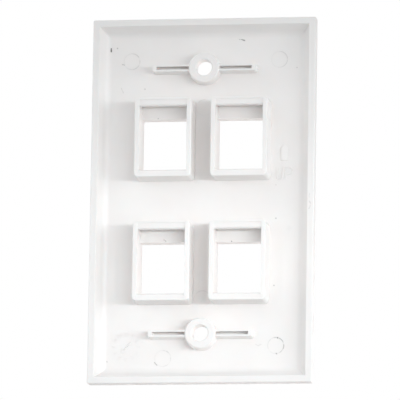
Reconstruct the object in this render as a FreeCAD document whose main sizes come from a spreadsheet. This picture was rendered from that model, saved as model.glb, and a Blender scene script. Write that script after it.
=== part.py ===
"""Keystone faceplate: a single-gang wall plate with four keystone ports, moulded in one piece.

Millimetres, as it is fixed to a wall: +Z is up, X runs across the plate, and the room is on the
-Y side. The origin is in the wall plane (the rear face of the rim), midway between the two screws.
"""
import FreeCAD, Part
import math
import os
import Sketcher

Vector = FreeCAD.Vector

# Driving sizes in millimetres, angles in degrees.
SIZES = [
    ("plate_width", 69.85, "outline, across"),
    ("plate_height", 114.3, "outline, up"),
    ("plate_depth", 5.8, "front face to the wall plane"),
    ("plate_corner_radius", 0.6, "corners of the outline"),
    ("front_edge_radius", 2.4, "rounding between the sides and the front face"),
    ("skin_thickness", 2.0, "wall of the front skin"),
    ("rim_width", 2.05, "flat rim that meets the wall"),
    ("rim_edge_radius", 0.3, "outer edge of the rim"),
    ("cove_slope", 28.0, "lean of the inner sides of the rim"),
    ("cove_radius", 2.4, "cove between those sides and the floor"),
    ("screw_spacing", 83.34, "between the centres of the two screws"),
    ("screw_bore", 5.0, "clearance hole of a 6-32 screw"),
    ("bore_mouth", 0.3, "chamfer at the rear mouth of that hole"),
    ("sink_diameter", 8.0, "countersink at the front face"),
    ("sink_angle", 82.0, "full angle of the countersink"),
    ("boss_diameter", 9.6, "rear face of a screw boss"),
    ("boss_draft", 3.0, "draft of its side"),
    ("boss_edge_chamfer", 0.35, "edge of its rear face"),
    ("rib_reach", 16.2, "boss centre to the end of a rib's rear face"),
    ("rib_width", 2.05, "width of a rib's rear face"),
    ("rib_drop", 0.4, "a rib's rear face below the wall plane"),
    ("rib_draft", 6.0, "draft of its sides and end"),
    ("rib_end_radius", 0.7, "corners of its end"),
    ("slot_reach", 14.9, "boss centre to the end of a rib's slot"),
    ("slot_width", 0.95, "width of the blind slot along a rib"),
    ("slot_depth", 3.0, "depth of that slot"),
    ("ports_across", 23.74, "between the centres of two ports, across"),
    ("ports_up", 38.75, "between the centres of two ports, up"),
    ("ports_drop", 0.3, "centre of the four ports below the centre of the plate"),
    ("window_width", 14.8, "front opening of a port, across"),
    ("window_height", 16.3, "front opening of a port, up"),
    ("window_edge_radius", 0.25, "front edges of that opening"),
    ("port_depth", 10.0, "front face to the rear rim of a port"),
    ("port_side_wall", 1.45, "left and right wall of a port"),
    ("port_end_wall", 1.35, "top and bottom wall of a port"),
    ("port_corner_radius", 1.2, "outer corners of a port"),
    ("port_edge_radius", 0.3, "outer edge of its rear rim"),
    ("port_draft", 1.0, "draft of its outer walls"),
    ("latch_pocket", 4.5, "height of the pocket for the jack's flexible latch"),
    ("latch_block", 4.0, "front face to the shoulder that the latch rests on"),
    ("latch_overhang", 1.15, "ledge over the latch pocket, beyond the end wall"),
    ("hook_pocket", 1.35, "height of the pocket for the jack's fixed hook"),
    ("hook_block", 6.5, "front face to the shoulder that the hook rests on"),
    ("hook_overhang", 0.8, "ledge over the hook pocket, beyond the end wall"),
    ("ledge_thickness", 2.0, "depth of both ledges from the rear rim"),
    ("ledge_recess", 0.3, "ledges below the rear rim"),
    ("ledge_lead", 0.35, "chamfer on the inner edge of a ledge"),
    ("lip_width", 0.62, "rim left standing outside a ledge"),
    ("ejector_diameter", 5.0, "mark left by an ejector pin"),
    ("ejector_depth", 0.1, "depth of that mark"),
]

# Places of the ejector marks on the floor: one name, X and Z for each.
EJECTORS = [
    ("top_left", 23.2, 44.6),
    ("top_right", -23.1, 44.6),
    ("mid_top", 0.2, 29.7),
    ("mid_bottom", 0.0, -30.4),
    ("bottom_left", 12.0, -48.9),
    ("bottom_right", -23.1, -45.2),
]

# Places and lengths that follow from the driving sizes.
FLOOR = "(Sizes.plate_depth - Sizes.skin_thickness)"
SCREW_Z = "(Sizes.screw_spacing / 2)"
PORT_X = "(Sizes.ports_across / 2)"
PORT_Z = "(Sizes.ports_up / 2 - Sizes.ports_drop)"
PORT_RIM = "(Sizes.port_depth - Sizes.plate_depth)"
PORT_WIDTH = "(Sizes.window_width + 2 * Sizes.port_side_wall)"
WELL_HEIGHT = "(Sizes.latch_pocket + Sizes.window_height + Sizes.hook_pocket)"
PORT_HEIGHT = f"({WELL_HEIGHT} + 2 * Sizes.port_end_wall)"
CLEAR = 1.0  # how far a cut runs past the face that it opens

doc = FreeCAD.newDocument("KeystoneFaceplate")
sheet = doc.addObject("Spreadsheet::Sheet", "Sizes")


def fill_sheet():
    """One row for each driving size: its name, its value and what it is."""
    places = []
    for name, across, up in EJECTORS:
        places.append((f"ejector_{name}_x", across, "ejector mark, across"))
        places.append((f"ejector_{name}_z", up, "ejector mark, up"))
    for row, (name, value, meaning) in enumerate(SIZES + places, start=1):
        sheet.set(f"A{row}", name)
        sheet.set(f"B{row}", str(value))
        sheet.set(f"C{row}", meaning)
        sheet.setAlias(f"B{row}", name)
    doc.recompute()


fill_sheet()
body = doc.addObject("PartDesign::Body", "Faceplate")
body.Label = "faceplate"
body.Placement = FreeCAD.Placement(Vector(0, 0, 0), FreeCAD.Rotation())


def value_of(expression):
    """The number that an expression of sheet sizes has now."""
    return float(sheet.evalExpression(expression.replace("Sizes.", "")))


def origin_feature(role):
    """A plane or axis of the body's own origin."""
    return next(feature for feature in body.Origin.OriginFeatures if feature.Role == role)


def sketch_on(role, name, across="0", up="0", off="0"):
    """A sketch on an origin plane, its centre moved within the plane and off it."""
    sketch = body.newObject("Sketcher::SketchObject", name)
    sketch.AttachmentSupport = [(origin_feature(role), "")]
    sketch.MapMode = "FlatFace"
    for axis, expression in (("x", across), ("y", up), ("z", off)):
        sketch.setExpression(f"AttachmentOffset.Base.{axis}", expression)
    return sketch


def drive(sketch, constraint, expression):
    """Adds a dimension and ties it to the sheet."""
    index = sketch.addConstraint(constraint)
    sketch.setExpression(f"Constraints[{index}]", expression)


def draw_outline(sketch, corners):
    """A closed chain of straight edges; each corner is a pair of expressions."""
    points = [Vector(value_of(x), value_of(y), 0) for x, y in corners]
    count = len(points)
    first = sketch.GeometryCount
    for i in range(count):
        sketch.addGeometry(Part.LineSegment(points[i], points[(i + 1) % count]))
    for i in range(count):
        following = first + (i + 1) % count
        sketch.addConstraint(Sketcher.Constraint("Coincident", first + i, 2, following, 1))
    for i, (x, y) in enumerate(corners):
        at = (-1, 1, first + i, 1)
        drive(sketch, Sketcher.Constraint("DistanceX", *at, points[i].x), x)
        drive(sketch, Sketcher.Constraint("DistanceY", *at, points[i].y), y)


def draw_rectangle(sketch, width, height):
    """A rectangle about the sketch's centre."""
    right, top = f"({width}) / 2", f"({height}) / 2"
    left, bottom = f"-({width}) / 2", f"-({height}) / 2"
    draw_outline(sketch, [(left, bottom), (right, bottom), (right, top), (left, top)])


def draw_circle(sketch, diameter, across, up):
    """A circle at a place given by two expressions."""
    centre = Vector(value_of(across), value_of(up), 0)
    circle = sketch.addGeometry(Part.Circle(centre, Vector(0, 0, 1), value_of(diameter) / 2))
    drive(sketch, Sketcher.Constraint("Diameter", circle, value_of(diameter)), diameter)
    at = (-1, 1, circle, 3)
    drive(sketch, Sketcher.Constraint("DistanceX", *at, centre.x), across)
    drive(sketch, Sketcher.Constraint("DistanceY", *at, centre.y), up)


def grow(kind, name, sketch, length, reverse=False, taper=None, middle=False):
    """A pad or pocket of a sketch; its length and taper are expressions."""
    feature = body.newObject(f"PartDesign::{kind}", name)
    feature.Profile = sketch
    feature.setExpression("Length", length)
    feature.Reversed = reverse
    feature.Midplane = middle
    if taper is not None:
        feature.setExpression("TaperAngle", taper)
    doc.recompute()
    return feature


def turn(kind, name, sketch):
    """A revolution or groove of a half section about the sketch's horizontal axis."""
    feature = body.newObject(f"PartDesign::{kind}", name)
    feature.Profile = sketch
    feature.ReferenceAxis = (sketch, ["H_Axis"])
    feature.Angle = 360
    doc.recompute()
    return feature


def soften(kind, name, base, chosen, size):
    """A fillet or chamfer on the edges of the base for which chosen(edge) holds."""
    edges = [f"Edge{i}" for i, edge in enumerate(base.Shape.Edges, start=1) if chosen(edge)]
    feature = body.newObject(f"PartDesign::{kind}", name)
    feature.Base = (base, edges)
    feature.setExpression("Radius" if kind == "Fillet" else "Size", size)
    doc.recompute()
    return feature


def lies_at(edge, depth):
    """Whether an edge lies in the plane Y = depth."""
    return abs(edge.BoundBox.YMin - depth) < 1e-5 and abs(edge.BoundBox.YMax - depth) < 1e-5


def spans(edge, low, high):
    """Whether an edge runs straight along Y from one depth to another."""
    box = edge.BoundBox
    level = abs(box.YMin - low) < 1e-5 and abs(box.YMax - high) < 1e-5
    return level and box.XLength < 1e-5 and box.ZLength < 1e-5


def draw_rounded(sketch, width, height, radius):
    """A rectangle with rounded corners about the sketch's centre."""
    half_w, half_h, r = value_of(width) / 2, value_of(height) / 2, value_of(radius)
    quarter = math.pi / 2
    sides = [
        (Vector(-half_w + r, -half_h, 0), Vector(half_w - r, -half_h, 0)),
        (Vector(half_w, -half_h + r, 0), Vector(half_w, half_h - r, 0)),
        (Vector(half_w - r, half_h, 0), Vector(-half_w + r, half_h, 0)),
        (Vector(-half_w, half_h - r, 0), Vector(-half_w, -half_h + r, 0)),
    ]
    signs = [(1, -1), (1, 1), (-1, 1), (-1, -1)]
    for i, (start, end) in enumerate(sides):
        sketch.addGeometry(Part.LineSegment(start, end))
        centre = Vector(signs[i][0] * (half_w - r), signs[i][1] * (half_h - r), 0)
        circle = Part.Circle(centre, Vector(0, 0, 1), r)
        sketch.addGeometry(Part.ArcOfCircle(circle, (i - 1) * quarter, i * quarter))
    for i in range(4):
        line, arc, following = 2 * i, 2 * i + 1, (2 * i + 2) % 8
        sketch.addConstraint(Sketcher.Constraint("Tangent", line, 2, arc, 1))
        sketch.addConstraint(Sketcher.Constraint("Tangent", arc, 2, following, 1))
        level = "Horizontal" if i % 2 == 0 else "Vertical"
        sketch.addConstraint(Sketcher.Constraint(level, line))
        if i:
            sketch.addConstraint(Sketcher.Constraint("Equal", 1, arc))
    drive(sketch, Sketcher.Constraint("Radius", 1, r), radius)
    for line, kind, half, expression in (
        (0, "DistanceY", -half_h, f"-({height}) / 2"),
        (2, "DistanceX", half_w, f"({width}) / 2"),
        (4, "DistanceY", half_h, f"({height}) / 2"),
        (6, "DistanceX", -half_w, f"-({width}) / 2"),
    ):
        drive(sketch, Sketcher.Constraint(kind, -1, 1, line, 1, half), expression)


def draw_channel(sketch, span, across_first):
    """The section of the plate as a channel: front face, sides, rim, sloping inner sides, floor."""
    outer = f"({span} / 2)"
    inner = f"({outer} - Sizes.rim_width)"
    foot = f"({inner} - {FLOOR} * tan(Sizes.cove_slope * 1deg))"
    half = [(outer, "-Sizes.plate_depth"), (outer, "0.0"), (inner, "0.0"), (foot, f"-{FLOOR}")]
    chain = half + [(f"-{across}", depth) for across, depth in reversed(half)]
    draw_outline(sketch, chain if across_first else [(depth, across) for across, depth in chain])


def add_plate():
    """The plate: two crossed channels make a tray with a flat rim and sloping inner sides."""
    level = sketch_on("XY_Plane", "LevelSection")
    draw_channel(level, "Sizes.plate_width", across_first=True)
    grow("Pad", "LevelChannel", level, "Sizes.plate_height", middle=True)
    upright = sketch_on("YZ_Plane", "UprightSection")
    draw_channel(upright, "Sizes.plate_height", across_first=False)
    tray = grow("Pad", "Tray", upright, "Sizes.plate_width", middle=True)

    front, floor = -value_of("Sizes.plate_depth"), -value_of(FLOOR)
    cove = soften("Fillet", "Cove", tray, lambda e: lies_at(e, floor), "Sizes.cove_radius")
    corners = soften("Fillet", "Corners", cove, lambda e: spans(e, front, 0), "Sizes.plate_corner_radius")
    rounded = soften("Fillet", "FrontEdge", corners, lambda e: lies_at(e, front), "Sizes.front_edge_radius")
    half_width = value_of("Sizes.plate_width") / 2
    half_height = value_of("Sizes.plate_height") / 2

    def is_rim_edge(edge):
        """Whether an edge is on the outer edge of the rim, not its inner one."""
        box, past = edge.BoundBox, value_of("Sizes.rim_width") / 2
        outside = max(abs(box.XMin), abs(box.XMax)) > half_width - past and box.XLength < half_width
        above = max(abs(box.ZMin), abs(box.ZMax)) > half_height - past and box.ZLength < half_height
        return lies_at(edge, 0) and (outside or above)

    return soften("Fillet", "RimEdge", rounded, is_rim_edge, "Sizes.rim_edge_radius")


def add_screw_post():
    """The upper screw boss with its two slotted ribs and its countersunk hole, mirrored below."""
    ribs = sketch_on("XZ_Plane", "RibOutline", up=SCREW_Z, off="Sizes.rib_drop")
    draw_rounded(ribs, "2 * Sizes.rib_reach", "Sizes.rib_width", "Sizes.rib_end_radius")
    rib = grow("Pad", "Ribs", ribs, f"{FLOOR} - Sizes.rib_drop", taper="Sizes.rib_draft")

    slots = sketch_on("XZ_Plane", "SlotOutline", up=SCREW_Z)
    draw_rectangle(slots, "2 * Sizes.slot_reach", "Sizes.slot_width")
    slot = grow("Pocket", "Slots", slots, "Sizes.slot_depth", reverse=True)

    profile = sketch_on("YZ_Plane", "BossSection", up=SCREW_Z)
    face = "Sizes.boss_diameter / 2"
    foot = f"{face} + {FLOOR} * tan(Sizes.boss_draft * 1deg)"
    draw_outline(profile, [(f"-{FLOOR}", "0.0"), ("0.0", "0.0"), ("0.0", face), (f"-{FLOOR}", foot)])
    boss = turn("Revolution", "Boss", profile)

    section = sketch_on("YZ_Plane", "BoreSection", up=SCREW_Z)
    bore = "Sizes.screw_bore / 2"
    mouth = f"{bore} + Sizes.bore_mouth"
    sink = "Sizes.sink_diameter / 2"
    front = "-Sizes.plate_depth"
    run = f"({sink} - {bore}) / tan(Sizes.sink_angle * 1deg / 2)"
    draw_outline(section, [
        (f"{front} - {CLEAR}", "0.0"),
        (f"{CLEAR}", "0.0"),
        (f"{CLEAR}", mouth),
        ("0.0", mouth),
        ("-Sizes.bore_mouth", bore),
        (f"{front} + {run}", bore),
        (front, sink),
        (f"{front} - {CLEAR}", sink),
    ])
    hole = turn("Groove", "ScrewHole", section)

    both = body.newObject("PartDesign::Mirrored", "BothScrews")
    both.Originals = [rib, slot, boss, hole]
    both.MirrorPlane = (origin_feature("XY_Plane"), [""])
    body.Tip = both
    doc.recompute()
    return both


def add_ports():
    """One port, a box with a window and a stepped well behind it, repeated two by two."""
    depth_below_rim = f"{PORT_RIM} + {FLOOR}"
    outline = sketch_on("XZ_Plane", "PortOutline", PORT_X, PORT_Z, f"-{PORT_RIM}")
    draw_rounded(outline, PORT_WIDTH, PORT_HEIGHT, "Sizes.port_corner_radius")
    box = grow("Pad", "PortBox", outline, depth_below_rim, taper="Sizes.port_draft")

    front = "-Sizes.plate_depth"
    rim, ledge = PORT_RIM, f"({PORT_RIM} - Sizes.ledge_recess)"
    under = f"({PORT_RIM} - Sizes.ledge_thickness)"
    top, bottom = f"({PORT_HEIGHT} / 2)", f"(-{PORT_HEIGHT} / 2)"
    ceiling, sill = f"({top} - Sizes.port_end_wall)", f"({bottom} + Sizes.port_end_wall)"
    window_top = f"({ceiling} - Sizes.latch_pocket)"
    window_bottom = f"({sill} + Sizes.hook_pocket)"
    latch_tip = f"({ceiling} - Sizes.latch_overhang)"
    hook_tip = f"({sill} + Sizes.hook_overhang)"
    section = sketch_on("YZ_Plane", "WellSection", up=PORT_Z, off=PORT_X)
    draw_outline(section, [
        (f"{front} - {CLEAR}", window_bottom),
        (f"{front} + Sizes.hook_block", window_bottom),
        (f"{front} + Sizes.hook_block", sill),
        (under, sill),
        (under, hook_tip),
        (f"{ledge} - Sizes.ledge_lead", hook_tip),
        (ledge, f"{hook_tip} - Sizes.ledge_lead"),
        (ledge, f"{bottom} + Sizes.lip_width"),
        (rim, f"{bottom} + Sizes.lip_width"),
        (f"{rim} + {CLEAR}", f"{bottom} + Sizes.lip_width"),
        (f"{rim} + {CLEAR}", f"{top} - Sizes.lip_width"),
        (ledge, f"{top} - Sizes.lip_width"),
        (ledge, f"{latch_tip} + Sizes.ledge_lead"),
        (f"{ledge} - Sizes.ledge_lead", latch_tip),
        (under, latch_tip),
        (under, ceiling),
        (f"{front} + Sizes.latch_block", ceiling),
        (f"{front} + Sizes.latch_block", window_top),
        (f"{front} - {CLEAR}", window_top),
    ])
    well = grow("Pocket", "Well", section, "Sizes.window_width", middle=True)

    ports = body.newObject("PartDesign::MultiTransform", "Ports")
    steps = []
    for name, axis, pitch in (("Across", "X_Axis", "ports_across"), ("Down", "Z_Axis", "ports_up")):
        step = doc.addObject("PartDesign::LinearPattern", f"Ports{name}")
        step.Direction = (origin_feature(axis), [""])
        step.Reversed = True
        step.setExpression("Length", f"Sizes.{pitch}")
        step.Occurrences = 2
        steps.append(step)
    ports.Originals = [box, well]
    ports.Transformations = steps
    body.Tip = ports
    doc.recompute()
    return ports


def ease_edges(base):
    """Eased edges: the rear rims of the ports and bosses, and the front edges of the windows."""
    front, port_rim = -value_of("Sizes.plate_depth"), value_of(PORT_RIM)
    outer = value_of(f"{PORT_HEIGHT} / 2 - Sizes.lip_width / 2")
    half_window = value_of("Sizes.window_width / 2")
    screw_z, boss_radius = value_of(SCREW_Z), value_of("Sizes.boss_diameter / 2")
    port_x, half_pitch = value_of(PORT_X), value_of("Sizes.ports_up / 2")
    drop = value_of("Sizes.ports_drop")

    def from_port(edge):
        """How far an edge's middle is from the centre of its port, across and up."""
        middle = edge.BoundBox.Center
        return abs(abs(middle.x) - port_x), abs(abs(middle.z + drop) - half_pitch)

    def is_port_rim(edge):
        across, up = from_port(edge)
        return lies_at(edge, port_rim) and (across > half_window + 0.1 or up > outer)

    def is_window_edge(edge):
        across, up = from_port(edge)
        return lies_at(edge, front) and across < half_window + 0.1 and up < outer

    def is_boss_rim(edge):
        ends = [vertex.Point for vertex in edge.Vertexes]
        reach = [Vector(end.x, 0, abs(end.z) - screw_z).Length for end in ends]
        return lies_at(edge, 0) and all(abs(r - boss_radius) < 1e-5 for r in reach)

    eased = base
    for kind, name, chosen, size in (
        ("Fillet", "PortRims", is_port_rim, "Sizes.port_edge_radius"),
        ("Fillet", "WindowEdges", is_window_edge, "Sizes.window_edge_radius"),
        ("Chamfer", "BossRims", is_boss_rim, "Sizes.boss_edge_chamfer"),
    ):
        eased = soften(kind, name, eased, chosen, size)
    return eased


def add_ejector_marks():
    """Shallow round marks that the ejector pins left on the floor."""
    marks = sketch_on("XZ_Plane", "EjectorOutline", off=FLOOR)
    for name, _, _ in EJECTORS:
        place = [f"Sizes.ejector_{name}_{axis}" for axis in "xz"]
        draw_circle(marks, "Sizes.ejector_diameter", *place)
    return grow("Pocket", "EjectorMarks", marks, "Sizes.ejector_depth", reverse=True)


def check_document():
    """Stops if any object failed, or if the plate isn't one sound solid."""
    failed = [o.Name for o in doc.Objects if {"Invalid", "Error"} & set(o.State)]
    if failed:
        raise RuntimeError(f"failed objects: {failed}")
    shape = body.Shape
    if shape.isNull() or not shape.isValid() or len(shape.Solids) != 1:
        raise RuntimeError("the faceplate isn't one valid solid")


add_plate()
add_screw_post()
ease_edges(add_ports())
add_ejector_marks()
doc.recompute()
check_document()

os.makedirs("parts", exist_ok=True)
body.Shape.exportStep(f"parts/{body.Label}.step")
print(f"{body.Label}: {body.Shape.Volume:.0f} cubic millimetres")
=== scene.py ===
"""Looks of the keystone faceplate: white moulded plastic, its raised marks, and the studio round it.

The frame is the part's own: +Z up, X across, the wall on the +Y side. The camera looks at the back of the
plate, so the picture's left is +X. Sizes on the plate are in millimetres, times MM where Blender needs
metres. The studio's are in metres.
"""
import math

import bmesh
import bpy
from mathutils import Matrix, Vector


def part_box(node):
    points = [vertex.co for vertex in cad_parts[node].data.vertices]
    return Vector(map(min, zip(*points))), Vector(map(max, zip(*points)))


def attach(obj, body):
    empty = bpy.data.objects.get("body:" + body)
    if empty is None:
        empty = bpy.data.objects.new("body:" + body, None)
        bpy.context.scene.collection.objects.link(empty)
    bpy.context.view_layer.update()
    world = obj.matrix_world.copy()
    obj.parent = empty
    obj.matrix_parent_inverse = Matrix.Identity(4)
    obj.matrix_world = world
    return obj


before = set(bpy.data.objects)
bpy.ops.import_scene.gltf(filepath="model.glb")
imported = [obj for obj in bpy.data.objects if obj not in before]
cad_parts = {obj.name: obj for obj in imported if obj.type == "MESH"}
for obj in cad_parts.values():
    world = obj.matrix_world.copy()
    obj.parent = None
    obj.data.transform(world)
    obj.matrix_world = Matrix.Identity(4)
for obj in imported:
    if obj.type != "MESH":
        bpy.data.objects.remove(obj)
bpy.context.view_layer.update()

MM = 0.001
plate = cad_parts["faceplate"]
plate_low, plate_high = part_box("faceplate")

# Places of the plate's faces along Y, where the wall plane is at 0.
SKIN, SHOULDER_DEPTH = 2.0, 4.0  # both measured from the front face
FRONT = plate_low.y / MM
FLOOR = FRONT + SKIN  # the floor of the tray, which is the rear side of the front skin
SHOULDER = FRONT + SHOULDER_DEPTH  # the shoulder above each window, where a latch rests
RIM = 0.0
PORT_RIM = plate_high.y / MM

# The moulded marks on the floor: places across and up. A relief is how far a mark stands up.
ARROW_CENTRE, ARROW_TOP, ARROW_FOOT = -25.05, 17.8, 12.6
ARROW_SHOULDER, ARROW_HALF, ARROW_ROOF = 16.2, 1.08, 1.42
ARROW_RELIEF, ARROW_SOFT_EDGE = 0.34, 0.1
UP_LEFT, UP_TOP, UP_HEIGHT = -22.7, 10.4, 3.7
LETTER_WIDTH, LETTER_GAP, LETTER_RELIEF = 1.85, 0.95, 0.18
P_BOWL = 0.28 * UP_HEIGHT  # radius of the round part of the P
STROKE = 0.4
DIAL_CENTRE, DIAL_RADIUS = (23.5, -45.2), 3.85
DIGIT_SIZE, DIGIT_SPREAD = 1.35, 0.03
DIGIT_HALF_DEPTH, DIGIT_RISE = 0.1, 0.04
POINTER_SHAFT = [(-1.5, 1.3), (0.6, -0.85)]  # from the dial's centre, and so is the head
POINTER_HEAD = [(1.5, -1.9), (1.15, -0.35), (0.0, -1.55)]
POINTER_RELIEF, POINTER_SOFT_EDGE = 0.28, 0.05
MARK_ROOT = 0.1  # how far a flat mark reaches into the plate
ARC_STEPS = 16

# The plastic's colour runs between two close tones. Under the cool DAYLIGHT it looks neutral.
PLASTIC_TONES = (0.89, 0.858, 0.84, 1), (0.912, 0.88, 0.862, 1)
PLASTIC_IOR = 1.5
PLATE_SEE_IN, MARK_SEE_IN = 0.3, 0.0  # see white_plastic
SCATTER_REACH, SCATTER_BY_COLOUR = 1.1, (1.0, 0.8, 0.72)
ROUGHNESS = 0.34, 0.44
GRAIN_STRENGTH, GRAIN_DEPTH = 0.12, 0.02

# Noise scales, in waves per metre, and the noise levels between which a tone changes.
CLOUD_SCALE, SHEEN_SCALE, GRAIN_SCALE = 70.0, 260.0, 2200.0
BREAK_SCALE, WOBBLE_SCALE = 620.0, 1500.0
MIDDLE_NOISE = 0.3, 0.7

# The colour of dirt, and of the painted shade in the ejector marks' rims.
DIRT_AND_SHADE_COLOUR = (0.075, 0.065, 0.06, 1)
WOBBLE = 0.5  # how far the edges of dirt wander
# A ring of dirt and painted shade sits in the edge of each ejector mark; the painted shade is darkest on
# the side where the mark's step lies in shade. Columns: place across and up, how dark it is, and the side
# where it is darkest, in degrees from -X (the picture's right) towards up.
EJECTOR_RADIUS = 2.5
RING_FADE = 0.04, 0.24  # how far from its line a ring starts to fade, and where it ends
RING_BREAKS = 0.36, 0.56, 0.15  # noise levels where a ring is faintest and fullest, and how faint
RING_SHADE_SIDES = -0.7, 0.7, 0.25  # the lit side and the painted-shade side, in radii from the centre, and how faint
RING_DEPTH = 0.6  # rings end this far below the floor, so none shows on the plate's front
EJECTOR_DIRT_AND_SHADE = [
    (23.2, 44.6, 0.22, -10),
    (-23.1, 44.6, 0.18, 0),
    (0.2, 29.7, 0.1, 60),
    (0.0, -30.4, 0.1, 60),
    (12.0, -48.9, 0.22, 20),
    (-23.1, -45.2, 0.4, 30),
]
# Specks: across, back, up, radius, how dark. The fade says where one starts to fade and where it ends, as
# shares of its radius, and for scuffs as shares of half the width.
SPECK_FADE, SCUFF_FADE, SMUDGE_FADE = (0.35, 1.25), (0.4, 1.4), (0.0, 1.0)
SPECKS = [
    (18.9, FLOOR, 35.8, 0.25, 0.4),
    (27.8, FLOOR, 48.9, 0.28, 0.35),
    (-28.6, FLOOR, 42.0, 0.2, 0.45),
    (-22.3, FLOOR, -26.5, 0.26, 0.3),
    (-22.6, FLOOR, -5.5, 0.3, 0.35),
    (-22.5, FLOOR, 5.0, 0.28, 0.16),
    (29.4, FLOOR, -49.8, 0.26, 0.3),
    (-23.6, FLOOR, -42.8, 0.32, 0.75),
    (-23.3, FLOOR, -47.7, 0.3, 0.55),
    (14.3, SHOULDER, 26.0, 0.26, 0.35),
    (-13.8, PORT_RIM, -31.1, 0.22, 0.4),
]
# Scuffs: two ends, each across, back and up, then half the width and how dark.
SCUFFS = [
    ((29.8, FLOOR, 48.8), (29.78, FLOOR, 47.8), 0.2, 0.95),
    ((-10.4, FLOOR, 51.1), (-11.3, FLOOR, 51.0), 0.12, 0.4),
    ((-11.2, FLOOR, 51.05), (-12.1, FLOOR, 50.7), 0.2, 0.65),
    ((26.4, FLOOR, 36.2), (25.7, FLOOR, 34.6), 0.14, 0.16),
    ((26.2, FLOOR, 43.7), (25.5, FLOOR, 43.5), 0.16, 0.3),
    ((14.5, FLOOR, -50.2), (13.8, FLOOR, -51.0), 0.18, 0.4),
    ((-16.9, FLOOR, -44.8), (-17.7, FLOOR, -45.25), 0.13, 0.14),
    ((-17.7, FLOOR, -45.25), (-18.6, FLOOR, -44.8), 0.13, 0.14),
    ((4.75, PORT_RIM, -29.9), (4.6, PORT_RIM, -30.9), 0.18, 0.75),
    ((-9.3, SHOULDER, -12.9), (-9.4, SHOULDER, -13.4), 0.18, 0.5),
    ((11.9, SHOULDER, -12.2), (11.3, SHOULDER, -12.7), 0.14, 0.4),
    ((-3.4, SHOULDER, -11.7), (-3.5, SHOULDER, -12.2), 0.18, 0.45),
    ((-33.5, RIM, 1.6), (-33.4, RIM, 0.2), 0.12, 0.12),
    ((-33.5, RIM, -0.9), (-33.9, RIM, -1.7), 0.16, 0.17),
    ((-33.8, RIM, -2.2), (-33.4, RIM, -3.3), 0.16, 0.15),
    ((-34.6, RIM + 0.1, 2.4), (-34.75, RIM + 0.1, -1.5), 0.14, 0.12),
]
# One faint smudge on the floor: across, back, up, radius, how dark.
SMUDGE = (-26.8, FLOOR, -8.6, 1.3, 0.035)

# The camera: its direction from the plate, its roll, its distance, and the point it looks at.
CAMERA_SIDE, CAMERA_BELOW, CAMERA_ROLL = math.radians(8.8), math.radians(10.5), math.radians(0.89)
CAMERA_DISTANCE = 1.893
CAMERA_TARGET = Vector((0.54, 0.0, -0.15)) * MM
CAMERA_LENS, CAMERA_SENSOR = 552.3, 36  # both in millimetres
CAMERA_CLIP = 0.1, 20

# The light. Soft boxes: name, place, aim, size, watts, colour.
DAYLIGHT = (0.928, 0.967, 0.987)
TABLE_LIGHT = (1.0, 0.87, 0.82)
WORLD_LEVEL, WORLD_LEAN = 0.665, (0.6, 0, 0.05)
SOFT_BOXES = [
    ("side_box", (-1.0, 0.35, 0.1), (0, 0, -0.03), 0.4, 2.2, DAYLIGHT),
    ("right_box", (-0.9, 0.9, 0.0), (0, 0, -0.05), 0.5, 1.5, DAYLIGHT),
    # Warm light from the front side comes through the windows and brightens the insides of the ports.
    ("table_glow", (-0.15, -0.5, -0.2), (0, 0, 0), 0.6, 1.1, TABLE_LIGHT),
]
# Narrow lamps on an arc behind the plate, most of them on the -X side, so their shadows run out softly. The
# plate's upper edge falls outside the middle of their cones, so it is darker. Each lamp has its angle from
# +Y towards -X in degrees, and its watts.
ARC_RADIUS, ARC_HEIGHT, ARC_AIM = 1.58, -0.05, (-0.006, 0, -0.031)
ARC_CONE, ARC_LAMP_RADIUS = 7.0, 0.05
ARC_LAMPS = [(-28, 6.8), (20, 9.0), (30, 10.1), (40, 10.1), (50, 9.2), (60, 7.8)]

GROUND_REACH, GROUND_HEIGHT = 12.0, -1.1
GROUND_COLOUR = (0.8, 0.8, 0.8, 1)


# ---------------------------------------------------------------- small helpers

def link(thing):
    """Puts an object in the scene."""
    bpy.context.scene.collection.objects.link(thing)
    return thing


def on_floor(x, z, rise=0.0):
    """A point on the floor of the tray, from millimetres across and up, raised towards the wall."""
    return Vector((x, FLOOR + rise, z)) * MM


def as_piece(thing, material):
    """Gives a finished piece its material and the body that it rides on."""
    thing.data.materials.append(material)
    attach(thing, "root")


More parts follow.
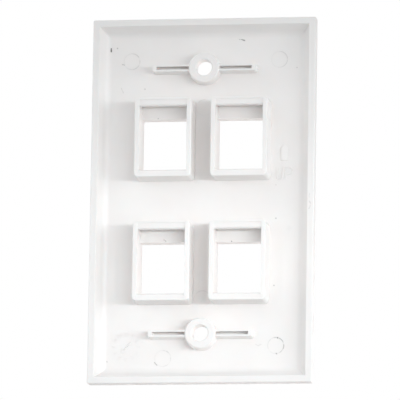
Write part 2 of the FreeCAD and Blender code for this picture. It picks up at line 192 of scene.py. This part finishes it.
class Nodes:
    """Short calls for the nodes of one material or world."""

    def __init__(self, owner):
        owner.use_nodes = True
        self.tree = owner.node_tree
        self.tree.nodes.clear()

    def add(self, kind, **settings):
        node = self.tree.nodes.new(kind)
        for name, value in settings.items():
            setattr(node, name, value)
        return node

    def join(self, source, target):
        self.tree.links.new(source, target)

    def feed(self, value, socket):
        """Sets a socket to a number, or links another node's output to it."""
        if isinstance(value, bpy.types.NodeSocket):
            self.join(value, socket)
        else:
            socket.default_value = value

    def math(self, operation, first, second=0.0, clamp=False):
        node = self.add("ShaderNodeMath", operation=operation, use_clamp=clamp)
        self.feed(first, node.inputs[0])
        self.feed(second, node.inputs[1])
        return node.outputs[0]

    def vector(self, operation, first, second=(0, 0, 0), output="Vector"):
        node = self.add("ShaderNodeVectorMath", operation=operation)
        self.feed(first, node.inputs[0])
        self.feed(second, node.inputs[1])
        return node.outputs[output]

    def scale(self, vector, factor):
        node = self.add("ShaderNodeVectorMath", operation="SCALE")
        self.feed(vector, node.inputs[0])
        self.feed(factor, node.inputs["Scale"])
        return node.outputs["Vector"]

    def ramp(self, value, start, end, low=0.0, high=1.0):
        """A smooth step from low to high as value goes from start to end."""
        node = self.add("ShaderNodeMapRange", interpolation_type="SMOOTHSTEP")
        for name, item in zip(("From Min", "From Max", "To Min", "To Max"), (start, end, low, high)):
            node.inputs[name].default_value = item
        self.feed(value, node.inputs["Value"])
        return node.outputs["Result"]

    def noise(self, here, scale, detail=2.0, roughness=0.5, output="Fac"):
        node = self.add("ShaderNodeTexNoise")
        node.inputs["Scale"].default_value = scale
        node.inputs["Detail"].default_value = detail
        node.inputs["Roughness"].default_value = roughness
        self.join(here, node.inputs["Vector"])
        return node.outputs[output]

    def mix(self, factor, first, second):
        """A mix of two colours, each a value or another node's output."""
        node = self.add("ShaderNodeMix", data_type="RGBA")
        self.join(factor, node.inputs["Factor"])
        self.feed(first, node.inputs["A"])
        self.feed(second, node.inputs["B"])
        return node.outputs["Result"]

    def distance(self, here, place):
        return self.vector("DISTANCE", here, place, "Value")

    def distance_to_line(self, here, start, end):
        """Distance from here to the straight line between two places."""
        run = end - start
        gone = self.vector("SUBTRACT", here, start)
        along = self.vector("DOT_PRODUCT", gone, run / run.length_squared, "Value")
        share = self.math("ADD", along, 0.0, clamp=True)  # held between the line's two ends
        return self.distance(here, self.vector("ADD", self.scale(run, share), start))


# ---------------------------------------------------------------- dirt and painted shade

def wobbled(n, here):
    """The place with a small wobble, so that marks don't look drawn with a ruler."""
    wobble = n.noise(here, WOBBLE_SCALE, output="Color")
    return n.vector("ADD", here, n.scale(n.vector("SUBTRACT", wobble, (0.5, 0.5, 0.5)), WOBBLE * MM))


def fading(n, distance, size, fade, dark):
    """Dirt and painted shade that are full near their middle and fade out, from the distance to the middle
    and the size.
    """
    start, end = fade
    return n.ramp(distance, start * size * MM, end * size * MM, dark, 0.0)


def ejector_rings(n, here):
    """Broken rings of dirt and painted shade in the edges of the ejector marks, each darker on its
    painted-shade side.
    """
    broken = n.ramp(n.noise(here, BREAK_SCALE), *RING_BREAKS)
    split = n.add("ShaderNodeSeparateXYZ")
    n.join(here, split.inputs[0])
    near_floor = n.math("GREATER_THAN", split.outputs["Y"], (FLOOR - RING_DEPTH) * MM)
    radius = EJECTOR_RADIUS * MM
    rings = 0.0
    for x, z, dark, turn in EJECTOR_DIRT_AND_SHADE:
        centre = on_floor(x, z)
        side = Vector((-math.cos(math.radians(turn)), 0, math.sin(math.radians(turn))))
        from_line = n.math("ABSOLUTE", n.math("SUBTRACT", n.distance(here, centre), radius))
        line = fading(n, from_line, 1.0, RING_FADE, dark)
        facing = n.vector("DOT_PRODUCT", n.vector("SUBTRACT", here, centre), side / radius, "Value")
        # The ramp darkens each ring on one side: painted shade of the mark's step.
        rings = n.math("ADD", rings, n.math("MULTIPLY", line, n.ramp(facing, *RING_SHADE_SIDES)))
    return n.math("MULTIPLY", rings, n.math("MULTIPLY", broken, near_floor))


def dirt(n, here):
    """How much dirt and painted shade lies at a place, from 0 to 1: the ejector marks' rims of dirt and
    painted shade, specks, scuffs and a smudge.
    """
    rough = wobbled(n, here)
    parts = [ejector_rings(n, here)]
    for *place, radius, dark in SPECKS:
        parts.append(fading(n, n.distance(rough, Vector(place) * MM), radius, SPECK_FADE, dark))
    for start, end, half, dark in SCUFFS:
        distance = n.distance_to_line(rough, Vector(start) * MM, Vector(end) * MM)
        parts.append(fading(n, distance, half, SCUFF_FADE, dark))
    *place, radius, dark = SMUDGE
    parts.append(fading(n, n.distance(rough, Vector(place) * MM), radius, SMUDGE_FADE, dark))

    total = parts[0]
    for part in parts[1:]:
        total = n.math("MAXIMUM", total, part)
    return total


# ---------------------------------------------------------------- the plastic

def white_plastic(name, see_in):
    """Satin white ABS with the faint unevenness, grain and dirt of a handled moulding, and painted shade at
    the ejector marks' edges.

    see_in is how much of the light goes into the plastic and comes out beside where it went in. The thin
    raised marks have none, because only the plate behind them has the depth for it.
    """
    material = bpy.data.materials.new(name)
    n = Nodes(material)
    here = n.add("ShaderNodeTexCoord").outputs["Object"]
    shader = n.add("ShaderNodeBsdfPrincipled")
    shader.inputs["IOR"].default_value = PLASTIC_IOR
    shader.inputs["Subsurface Weight"].default_value = see_in
    shader.inputs["Subsurface Radius"].default_value = SCATTER_BY_COLOUR
    shader.inputs["Subsurface Scale"].default_value = SCATTER_REACH * MM

    clouds = n.ramp(n.noise(here, CLOUD_SCALE, 3.0, 0.55), *MIDDLE_NOISE)
    clean = n.mix(clouds, *PLASTIC_TONES)
    # Dirt, and the painted shade at the ejector marks' rims, darken the clean colour here.
    n.join(n.mix(dirt(n, here), clean, DIRT_AND_SHADE_COLOUR), shader.inputs["Base Color"])
    n.join(n.ramp(n.noise(here, SHEEN_SCALE), *MIDDLE_NOISE, *ROUGHNESS), shader.inputs["Roughness"])

    grain = n.add("ShaderNodeBump")
    grain.inputs["Strength"].default_value = GRAIN_STRENGTH
    grain.inputs["Distance"].default_value = GRAIN_DEPTH * MM
    n.join(n.noise(here, GRAIN_SCALE, 3.0), grain.inputs["Height"])
    n.join(grain.outputs["Normal"], shader.inputs["Normal"])

    output = n.add("ShaderNodeOutputMaterial")
    n.join(shader.outputs["BSDF"], output.inputs["Surface"])
    return material


# ---------------------------------------------------------------- raised marks

def bead(name, strokes, material, relief):
    """Raised lines: each stroke is a list of places on the floor, swept with a round section."""
    curve = bpy.data.curves.new(name, "CURVE")
    curve.dimensions = "3D"
    radius = STROKE / 2
    for stroke in strokes:
        spline = curve.splines.new("POLY")
        spline.points.add(len(stroke) - 1)
        for point, (x, z) in zip(spline.points, stroke):
            point.co = (*on_floor(x, z, relief - radius), 1)
    curve.bevel_depth = radius * MM
    curve.bevel_resolution = 4
    curve.use_fill_caps = True
    as_piece(link(bpy.data.objects.new(name, curve)), material)


def prism(name, outline, material, relief, soft_edge):
    """A raised flat shape with softened top edges, from its outline on the floor."""
    mesh = bpy.data.meshes.new(name)
    shape = bmesh.new()
    foot = [shape.verts.new(on_floor(x, z, -MARK_ROOT)) for x, z in outline]
    head = [shape.verts.new(on_floor(x, z, relief)) for x, z in outline]
    shape.faces.new(foot)
    top = shape.faces.new(list(reversed(head)))
    count = len(outline)
    for i in range(count):
        j = (i + 1) % count
        shape.faces.new((foot[i], head[i], head[j], foot[j]))
    bmesh.ops.recalc_face_normals(shape, faces=shape.faces)
    edges = list(top.edges)
    bmesh.ops.bevel(shape, geom=edges, offset=soft_edge * MM, segments=2, profile=0.6, affect="EDGES")
    shape.to_mesh(mesh)
    shape.free()
    as_piece(link(bpy.data.objects.new(name, mesh)), material)


def arc(x, z, radius, start, end):
    """Places along an arc, with its angles in degrees from -X (the picture's right) towards up."""
    angles = [math.radians(start + (end - start) * i / ARC_STEPS) for i in range(ARC_STEPS + 1)]
    return [(x - radius * math.cos(a), z + radius * math.sin(a)) for a in angles]


def letters_up(material):
    """The two letters beside the upper right port, read from behind, so they run towards -X."""
    top, foot = UP_TOP, UP_TOP - UP_HEIGHT
    half = LETTER_WIDTH / 2
    right = UP_LEFT - LETTER_WIDTH
    letter_u = [(UP_LEFT, top)] + arc(UP_LEFT - half, foot + half, half, 180, 360) + [(right, top)]
    stem = right - LETTER_GAP
    bowl = arc(stem - half, top - P_BOWL, P_BOWL, 90, -90)
    letter_p = [(stem, foot), (stem, top)] + bowl + [(stem, top - 2 * P_BOWL)]
    bead("letters_up", [letter_u, letter_p], material, LETTER_RELIEF)


def direction_arrow(material):
    """The house-shaped arrow that points to the plate's upper edge."""
    outline = [(ARROW_CENTRE, ARROW_TOP)]
    for side in (1, -1):
        flank = [
            (ARROW_CENTRE + side * ARROW_ROOF, ARROW_SHOULDER),
            (ARROW_CENTRE + side * ARROW_HALF, ARROW_SHOULDER),
            (ARROW_CENTRE + side * ARROW_HALF, ARROW_FOOT),
        ]
        outline += flank if side == 1 else reversed(flank)
    prism("direction_arrow", outline, material, ARROW_RELIEF, ARROW_SOFT_EDGE)


def dial_number(month, material):
    """One of the dial's numbers, turned so that its foot points to the dial's centre."""
    # Text lies in its own XY plane. Seen from behind, its right is -X, its up is +Z and it faces +Y.
    facing = Matrix(((-1, 0, 0, 0), (0, 0, 1, 0), (0, 1, 0, 0), (0, 0, 0, 1)))
    x0, z0 = DIAL_CENTRE
    turn = -math.radians(30 * month)
    text = bpy.data.curves.new(f"dial_{month}", "FONT")
    text.body = str(month)
    text.size = DIGIT_SIZE * MM
    text.align_x = "CENTER"
    text.align_y = "CENTER"
    text.extrude = DIGIT_HALF_DEPTH * MM
    text.offset = DIGIT_SPREAD * MM
    number = link(bpy.data.objects.new(f"dial_number_{month}", text))
    place = on_floor(x0 + DIAL_RADIUS * math.sin(turn), z0 + DIAL_RADIUS * math.cos(turn), DIGIT_RISE)
    number.matrix_world = Matrix.Translation(place) @ facing @ Matrix.Rotation(turn, 4, "Z")
    as_piece(number, material)


def date_dial(material):
    """The moulding month dial: the numbers 1 to 12 in a ring, and a pointer."""
    for month in range(1, 13):
        dial_number(month, material)
    x0, z0 = DIAL_CENTRE
    shaft, head = ([(x0 + x, z0 + z) for x, z in shape] for shape in (POINTER_SHAFT, POINTER_HEAD))
    bead("dial_pointer_shaft", [shaft], material, POINTER_RELIEF)
    prism("dial_pointer_head", head, material, POINTER_RELIEF, POINTER_SOFT_EDGE)


# ---------------------------------------------------------------- studio

def rear_camera():
    """A long lens behind the plate, a little below it and towards -X."""
    camera = bpy.data.cameras.new("camera")
    camera.lens = CAMERA_LENS
    camera.sensor_width = CAMERA_SENSOR
    camera.clip_start, camera.clip_end = CAMERA_CLIP
    level = math.cos(CAMERA_BELOW)
    across, behind = -math.sin(CAMERA_SIDE) * level, math.cos(CAMERA_SIDE) * level
    back = Vector((across, behind, -math.sin(CAMERA_BELOW)))
    right = (-back).cross(Vector((0, 0, 1))).normalized()
    up = right.cross(-back)
    axes = Matrix((right, up, back)).transposed() @ Matrix.Rotation(CAMERA_ROLL, 3, "Z")
    holder = link(bpy.data.objects.new("camera", camera))
    holder.matrix_world = Matrix.Translation(CAMERA_TARGET + back * CAMERA_DISTANCE) @ axes.to_4x4()
    bpy.context.scene.camera = holder


def hang_lamp(lamp, place, aim, colour):
    """Puts a lamp at a place and turns it to a point."""
    lamp.color = colour
    holder = link(bpy.data.objects.new(lamp.name, lamp))
    turned = (Vector(aim) - Vector(place)).to_track_quat("-Z", "Y").to_matrix().to_4x4()
    holder.matrix_world = Matrix.Translation(place) @ turned


def soft_box(name, place, aim, size, watts, colour):
    """A square lamp with soft shadows."""
    lamp = bpy.data.lights.new(name, "AREA")
    lamp.shape = "SQUARE"
    lamp.size = size
    lamp.energy = watts
    hang_lamp(lamp, place, aim, colour)


def arc_lamp(turn, watts):
    """A narrow lamp with a soft edge, at an angle on the arc behind the plate."""
    lamp = bpy.data.lights.new(f"arc_lamp_{turn}", "SPOT")
    lamp.spot_size = math.radians(ARC_CONE)
    lamp.spot_blend = 1.0
    lamp.energy = watts
    lamp.shadow_soft_size = ARC_LAMP_RADIUS
    angle = math.radians(turn)
    place = (-ARC_RADIUS * math.sin(angle), ARC_RADIUS * math.cos(angle), ARC_HEIGHT)
    hang_lamp(lamp, place, ARC_AIM, DAYLIGHT)


def studio_world():
    """Soft cool light all round, stronger towards +X. The camera, gloss and glass see plain white."""
    world = bpy.data.worlds.new("studio")
    bpy.context.scene.world = world
    n = Nodes(world)
    toward = n.add("ShaderNodeTexCoord").outputs["Generated"]
    strength = n.math("ADD", n.vector("DOT_PRODUCT", toward, WORLD_LEAN, "Value"), WORLD_LEVEL)
    light = n.add("ShaderNodeBackground")
    light.inputs["Color"].default_value = (*DAYLIGHT, 1)
    n.join(strength, light.inputs["Strength"])
    white = n.add("ShaderNodeBackground")
    white.inputs["Color"].default_value = (1, 1, 1, 1)
    path = n.add("ShaderNodeLightPath").outputs
    seen = n.math("MAXIMUM", path["Is Camera Ray"], path["Is Glossy Ray"])
    seen = n.math("MAXIMUM", seen, path["Is Transmission Ray"])
    mix = n.add("ShaderNodeMixShader")
    n.join(seen, mix.inputs["Fac"])
    n.join(light.outputs["Background"], mix.inputs[1])
    n.join(white.outputs["Background"], mix.inputs[2])
    n.join(mix.outputs["Shader"], n.add("ShaderNodeOutputWorld").inputs["Surface"])


def studio_floor():
    """A plain pale floor well below the plate, which hangs as if on a wall."""
    mesh = bpy.data.meshes.new("studio_floor")
    low, high = -GROUND_REACH, GROUND_REACH
    corners = [(x, y, GROUND_HEIGHT) for x, y in ((low, low), (high, low), (high, high), (low, high))]
    mesh.from_pydata(corners, [], [(0, 1, 2, 3)])
    pale = bpy.data.materials.new("pale_floor")
    n = Nodes(pale)
    shader = n.add("ShaderNodeBsdfDiffuse")
    shader.inputs["Color"].default_value = GROUND_COLOUR
    n.join(shader.outputs["BSDF"], n.add("ShaderNodeOutputMaterial").inputs["Surface"])
    mesh.materials.append(pale)
    link(bpy.data.objects.new("studio_floor", mesh))


# ---------------------------------------------------------------- the scene

for slot in plate.material_slots:
    slot.material = white_plastic("white_abs", PLATE_SEE_IN)
marks = white_plastic("white_abs_marks", MARK_SEE_IN)
letters_up(marks)
direction_arrow(marks)
date_dial(marks)

rear_camera()
studio_world()
for box in SOFT_BOXES:
    soft_box(*box)
for lamp_turn, lamp_watts in ARC_LAMPS:
    arc_lamp(lamp_turn, lamp_watts)
studio_floor()
bpy.context.scene.view_settings.view_transform = "Standard"
